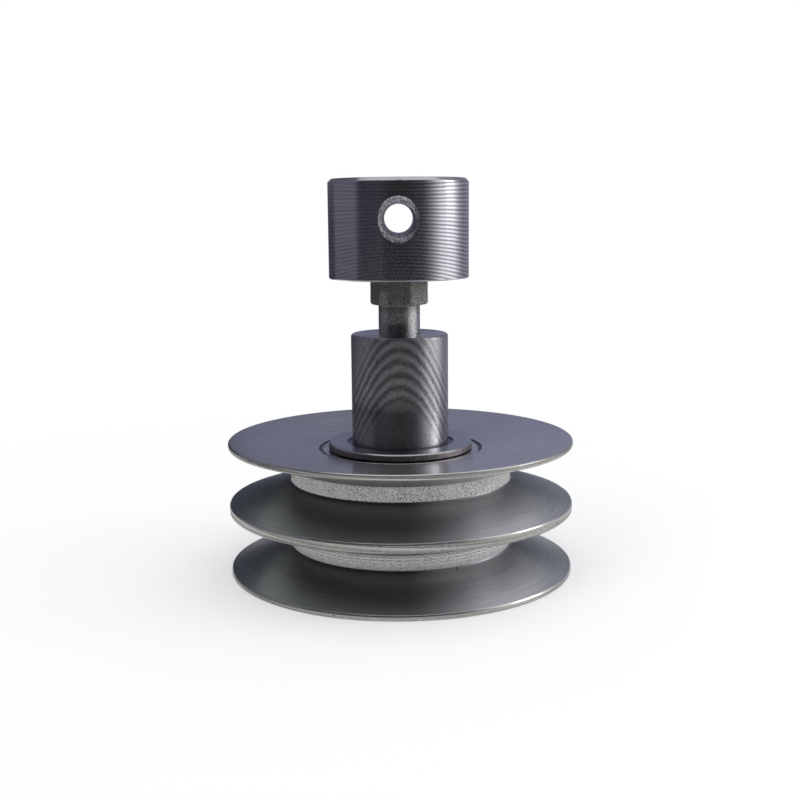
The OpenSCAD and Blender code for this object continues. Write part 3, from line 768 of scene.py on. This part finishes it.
class IDLER_OT_stud(Operator):
    """Forge the stud: thread, neck, uneven spanner hexagon and spigot"""
    bl_idname = "idler.stud"
    bl_label = "Spanner stud"

    def execute(self, context):
        s, f = context.scene.idler_shaft, context.scene.idler_finishes
        low, high = STUD_LOW.z, STUD_HIGH.z
        hex_low, hex_high = SHAFT_HIGH.z + s.neck_len, BOSS_LOW.z
        FORGED, NECK = 0, 1
        corners = [(0, low, 0, FORGED), (s.neck_r, low, 0.2 * MM, NECK),
                   (s.neck_r, hex_low, 0.3 * MM, FORGED),
                   (s.hex_corner_r - s.hex_chamfer, hex_low, 0.1 * MM, FORGED),
                   (s.hex_corner_r, hex_low + s.hex_chamfer, 0.2 * MM, FORGED),
                   (s.hex_corner_r, hex_high, 0.15 * MM, FORGED), (s.spigot_r, hex_high, 0.1 * MM, FORGED),
                   (s.spigot_r, high, 0.2 * MM, FORGED), (0, high, 0, FORGED)]
        sixth = math.pi / 3
        filed_corner = s.hex_turn - sixth / 2
        filed_reach = 0.5  # cosine of how far round the filed flat may cut
        power = 60  # the higher, the sharper the edges between the flats and the turned corners

        def hexagon(r, z, a):
            if r > s.neck_r + 0.1 * MM:
                away = (a - s.hex_turn + sixth / 2) % sixth - sixth / 2
                flat = s.hex_af / 2 / math.cos(away)
                r = (r ** -power + flat ** -power) ** (-1 / power)
                across = math.cos(a - filed_corner)
                if across > filed_reach:
                    filed = s.hex_corner_r - max(0, hex_low + s.filed_height - z) * s.filed_slope
                    r = min(r, filed / across)
            if hex_low - s.neck_len < z < hex_high:
                here = Vector((r * math.sin(a), -r * math.cos(a), z)) / MM
                waves = sum(noise.noise(here * per_mm) * depth for per_mm, depth in FORGE_WAVES)
                r += (waves - FORGE_SINK) * MM
            return r

        piece = lathe("forged_stud", rounded(corners), segments=288, longest=0.5 * MM, shape=hexagon)
        dress(piece, "spanner_stud", "forged_steel", "shaft",
              forged_steel(f.forged, f.pit, f.grit, hex_low / MM),
              turned_neck_steel(f.neck, f.forged, hex_low / MM))
        return {"FINISHED"}


class IDLER_OT_boss(Operator):
    """Turn the pivot boss and drill its cross hole, countersunk at both ends"""
    bl_idname = "idler.boss"
    bl_label = "Pivot boss"

    def execute(self, context):
        s, f = context.scene.idler_shaft, context.scene.idler_finishes
        low, high, outer = BOSS_LOW.z, BOSS_HIGH.z, BOSS_HIGH.x
        hole = s.spigot_r + FIT_GAP
        SIDE, FACE, BORE = range(3)
        corners = [(0, low + s.blind_depth, 0, BORE), (hole, low + s.blind_depth, 0.1 * MM, BORE),
                   (hole, low, 0.1 * MM, FACE), (outer - s.boss_foot_chamfer, low, 0.08 * MM, FACE),
                   (outer, low + s.boss_foot_chamfer, 0.08 * MM, SIDE),
                   (outer, high - s.boss_chamfer, 0.2 * MM, FACE),
                   (outer - s.boss_chamfer, high, 0.2 * MM, FACE), (0, high, 0, FACE)]
        piece = lathe("turned_pivot_boss", rounded(corners), segments=320, longest=1 * MM)
        spare = 1 * MM
        beyond = outer + spare
        mouth = s.cross_mouth_r + spare
        flare = s.cross_mouth_r - s.cross_hole_r
        outline = [(0, -beyond, 0), (mouth, -beyond, 0), (s.cross_hole_r, flare - outer, 0),
                   (s.cross_hole_r, outer - flare, 0), (mouth, beyond, 0), (0, beyond, 0)]
        cutter = lathe("cutter", outline, segments=96)
        cutter.matrix_world = (Matrix.Translation((0, 0, low + s.cross_hole_z))
                               @ Matrix.Rotation(math.pi / 2, 4, "X"))
        bored = bored_steel(f.boss)
        materials = (ringed_boss_steel(f.boss),
                     turned_face_steel("faced_boss_steel", f.boss, f.pit, 0.26, 1.4), bored)
        for material in materials:
            piece.data.materials.append(material)
        cutter.data.materials.append(bored)
        drill(piece, cutter)
        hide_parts("pivot_boss")
        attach(piece, "shaft")
        return {"FINISHED"}


# The stage

# Cards that only reflections see, from the inmost out: name, from and to azimuth and the soft edge at each
# end in degrees, and (height, colour) from the floor up. Azimuth 0 faces the camera and 90 is at its right.
# The open part between the cards shows the white studio.
CARDS = (
    ("camera_flag", -26, 30, 14, 20,
     ((0.0, "#383739"), (0.05, "#2C2A2C"), (0.08, "#1F1C1D"), (0.4, "#1C1A1C"))),
    ("front_flag", -70, 70, 10, 36,
     ((0.0, "#464548"), (0.04, "#3E3D41"), (0.07, "#3A3942"), (0.4, "#383842"))),
    ("left_card", -126, -56, 10, 0,
     ((0.0, "#5C5C62"), (0.06, "#5E5E65"), (0.09, "#72717B"), (0.4, "#74737E"))),
    ("right_back_card", 100, 160, 26, 10, ((0.0, "#9C9EA8"), (0.06, "#8A8C97"), (0.4, "#94959F"))),
    ("left_back_flag", -162, -116, 6, 0,
     ((0.0, "#4A4C58"), (0.1, "#3C3E49"), (0.13, "#686A74"), (0.4, "#686A74"))),
    ("back_left_card", -186, -150, 10, 0, ((0.0, "#787B8F"), (0.4, "#7A7D92"))),
    ("back_right_card", 140, 190, 0, 0, ((0.0, "#86899F"), (0.4, "#898CA3"))),
)
CARD_STEP = 2 * MM  # from one card to the next one out
CARD_LIFT = 0.5 * MM  # how far the cards stand off the floor

# Square lamps: name, place, width, power in watts, and whether the metal mirrors it.
LAMPS = (
    ("overhead_lamp", (0.25, 0.1, 1.3), 1.4, 9.0, False),
    ("side_lamp", (-0.9, -0.9, 0.9), 0.9, 5.0, False),
    ("right_lamp", (0.55, 0.02, 0.26), 0.2, 0.5, True),
)
LAMP_AIM = Vector((0, 0, 0.04))


class IDLER_OT_stage(Operator):
    """Set the floor, the reflected cards, the soft lamps, the white studio and the camera"""
    bl_idname = "idler.stage"
    bl_label = "Stage"

    def execute(self, context):
        s = context.scene.idler_stage
        scene = context.scene
        self.floor()
        paint = self.card_paint()
        for i, card in enumerate(CARDS):
            self.card(*card, s.card_r + i * CARD_STEP, paint)
        self.lamps()
        self.world(scene)
        camera = bpy.data.objects.new("camera", bpy.data.cameras.new("camera"))
        scene.collection.objects.link(camera)
        camera.location = (0, -s.distance, s.height)
        camera.rotation_euler = (Matrix.Rotation(math.pi / 2 - s.pitch, 3, "X")
                                 @ Matrix.Rotation(s.roll, 3, "Z")).to_euler()
        camera.data.lens = s.lens
        camera.data.clip_start = 0.01
        camera.data.clip_end = 20
        scene.camera = camera
        scene.view_settings.view_transform = "Standard"
        return {"FINISHED"}

    def floor(self):
        """A pale round floor, partly self-lit, that fades into the white studio 0.3 m from the axis."""
        mesh = bpy.data.meshes.new("floor")
        work = bmesh.new()
        bmesh.ops.create_circle(work, cap_ends=True, segments=96, radius=6)
        work.to_mesh(mesh)
        work.free()
        obj = bpy.data.objects.new("floor", mesh)
        bpy.context.scene.collection.objects.link(obj)
        material = bpy.data.materials.new("pale_floor")
        material.use_nodes = True
        tree = material.node_tree
        paint = tree.nodes["Principled BSDF"]
        paint.inputs["Base Color"].default_value = linear("#F4F4F4")
        paint.inputs["Roughness"].default_value = 0.9
        paint.inputs["Specular IOR Level"].default_value = 0.1
        here = add(tree, "ShaderNodeTexCoord", output="Object")
        away = add(tree, "ShaderNodeVectorMath", {0: here}, output=1, operation="LENGTH")
        far = add(tree, "ShaderNodeMapRange", {0: away, 1: 0.05, 2: 0.3, 3: 0.35},
                  interpolation_type="SMOOTHSTEP")
        glow = add(tree, "ShaderNodeEmission", {"Color": (1, 1, 1, 1), "Strength": 1.0})
        both = add(tree, "ShaderNodeMixShader", {0: far, 1: paint.outputs[0], 2: glow})
        tree.links.new(both, tree.nodes["Material Output"].inputs["Surface"])
        mesh.materials.append(material)

    def card_paint(self):
        """Each card shines in the colour painted on its points and is as clear as their alpha leaves it."""
        material = bpy.data.materials.new("card_paint")
        material.use_nodes = True
        tree = material.node_tree
        tree.nodes.remove(tree.nodes["Principled BSDF"])
        painted = add(tree, "ShaderNodeAttribute", attribute_name="paint").node
        glow = add(tree, "ShaderNodeEmission", {"Color": painted.outputs["Color"], "Strength": 1.0})
        clear = add(tree, "ShaderNodeBsdfTransparent")
        both = add(tree, "ShaderNodeMixShader", {0: painted.outputs["Alpha"], 1: clear, 2: glow})
        tree.links.new(both, tree.nodes["Material Output"].inputs["Surface"])
        return material

    def card(self, name, start, end, soft_start, soft_end, stops, radius, paint):
        """A curved upright card round the axis with soft ends, seen by reflections alone."""
        steps = 48
        verts, shades = [], []
        for height, code in stops:
            for k in range(steps + 1):
                degrees = start + (end - start) * k / steps
                into = min(1, (degrees - start) / max(soft_start, 1), (end - degrees) / max(soft_end, 1))
                a = math.radians(degrees)
                verts.append((radius * math.sin(a), -radius * math.cos(a), height + CARD_LIFT))
                shades.append((*linear(code)[:3], 1 - (1 - into) ** 2))
        row = steps + 1
        faces = [(i * row + k, i * row + k + 1, (i + 1) * row + k + 1, (i + 1) * row + k)
                 for i in range(len(stops) - 1) for k in range(steps)]
        mesh = bpy.data.meshes.new(name)
        mesh.from_pydata(verts, [], faces)
        layer = mesh.attributes.new("paint", "FLOAT_COLOR", "POINT")
        for item, shade in zip(layer.data, shades):
            item.color = shade
        mesh.materials.append(paint)
        obj = bpy.data.objects.new(name, mesh)
        bpy.context.scene.collection.objects.link(obj)
        obj.visible_camera = obj.visible_diffuse = obj.visible_shadow = False
        obj.visible_transmission = obj.visible_volume_scatter = False

    def lamps(self):
        """A large soft lamp overhead and a weaker one from the front left light what is not mirror-like. A
        soft box low on the right also shows in the metal."""
        for name, place, size, energy, mirrored in LAMPS:
            lamp = bpy.data.lights.new(name, "AREA")
            lamp.shape = "SQUARE"
            lamp.size = size
            lamp.energy = energy
            obj = bpy.data.objects.new(name, lamp)
            bpy.context.scene.collection.objects.link(obj)
            obj.location = place
            obj.rotation_euler = (LAMP_AIM - obj.location).to_track_quat("-Z", "Y").to_euler()
            obj.visible_glossy = mirrored

    def world(self, scene):
        """White where the camera, a mirror or glass looks, and a soft light grey for the rest."""
        world = bpy.data.worlds.new("studio")
        scene.world = world
        world.use_nodes = True
        tree = world.node_tree
        path = add(tree, "ShaderNodeLightPath").node
        seen = path.outputs["Is Camera Ray"]
        for ray in ("Is Glossy Ray", "Is Transmission Ray"):
            seen = add(tree, "ShaderNodeMath", {0: seen, 1: path.outputs[ray]}, operation="MAXIMUM")
        shade = add(tree, "ShaderNodeMix", {0: seen, 6: linear("#C8CACE"), 7: (1, 1, 1, 1)}, **BLEND)
        tree.links.new(shade, tree.nodes["Background"].inputs["Color"])


class IDLER_PT_panel(Panel):
    """Lists the pieces and the stage"""
    bl_label = "Idler Pulley"
    bl_space_type = "VIEW_3D"
    bl_region_type = "UI"
    bl_category = "Idler Pulley"

    def draw(self, context):
        for step in STEPS:
            self.layout.operator(step.bl_idname)


STEPS = (IDLER_OT_pulley, IDLER_OT_bearings, IDLER_OT_washer, IDLER_OT_shaft, IDLER_OT_stud, IDLER_OT_boss,
         IDLER_OT_stage)
GROUPS = {"idler_pulley": IdlerPulleySizes, "idler_shaft": IdlerShaftSizes, "idler_finishes": IdlerFinishes,
          "idler_stage": IdlerStage}
CLASSES = (*GROUPS.values(), *STEPS, IDLER_PT_panel)


def register():
    for cls in CLASSES:
        bpy.utils.register_class(cls)
    for name, group in GROUPS.items():
        setattr(bpy.types.Scene, name, PointerProperty(type=group))


def unregister():
    for name in GROUPS:
        delattr(bpy.types.Scene, name)
    for cls in reversed(CLASSES):
        bpy.utils.unregister_class(cls)


def main():
    """Dress the pulley."""
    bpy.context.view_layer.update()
    register()
    bpy.ops.idler.pulley()
    bpy.ops.idler.bearings()
    bpy.ops.idler.washer()
    bpy.ops.idler.shaft()
    bpy.ops.idler.stud()
    bpy.ops.idler.boss()
    bpy.ops.idler.stage()


if __name__ == "__main__":
    main()
